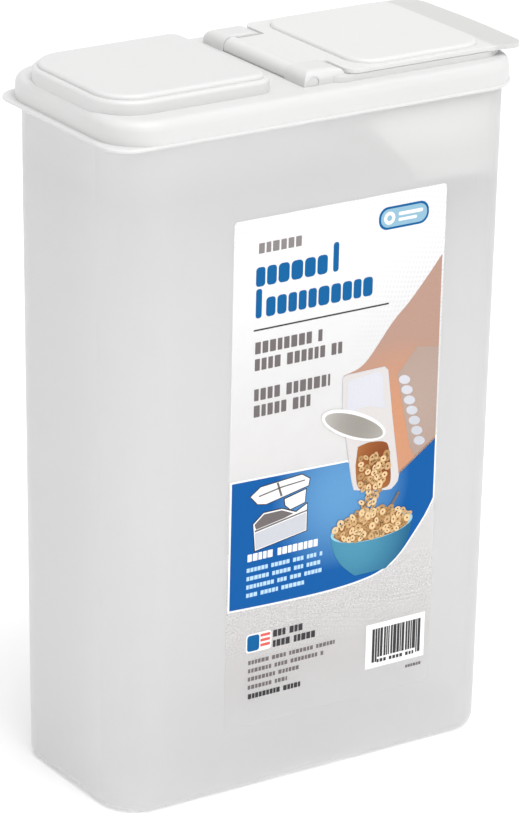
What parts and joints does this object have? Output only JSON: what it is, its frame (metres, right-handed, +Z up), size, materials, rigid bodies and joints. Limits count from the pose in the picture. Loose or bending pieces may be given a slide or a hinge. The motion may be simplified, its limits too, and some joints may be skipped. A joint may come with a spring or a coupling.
{
  "type": "cereal dispenser",
  "caption": "Tall translucent bag-in cereal storage box with a white press-on lid, flip-top pour flap, bag collar and front label.",
  "frame": {"origin": "centre of the container's footprint, on the surface that it stands on", "axes": "+Z up; +X along the broad front wall, towards the pour end; -Y out of the labelled front"},
  "size_m": [0.2122, 0.1014, 0.3202],
  "materials": {
    "container": "translucent, faint frost",
    "label": "printed film",
    "lid": "satin white",
    "flap": "satin white",
    "collar": "satin white"
  },
  "bodies": {
    "container": {"container_body": "container", "front_label": "label"},
    "lid": {"lid": "lid"},
    "flap": {"flip_top": "flap"},
    "collar": {"pour_chute": "collar"}
  },
  "joints": [
    {"name": "lid_lift", "type": "slide", "parent": "container", "child": "lid", "axis": [0, 0, 1], "range_m": [0, 0.06]},
    {"name": "flap_hinge", "type": "hinge", "parent": "lid", "child": "flap", "pos_m": [-0.0012, 0, 0.3138], "axis": [0, -1, 0], "range_deg": [0, 145]},
    {"name": "collar_pull", "type": "slide", "parent": "lid", "child": "collar", "axis": [0, 0, -1], "range_m": [0, 0.03]}
  ]
}
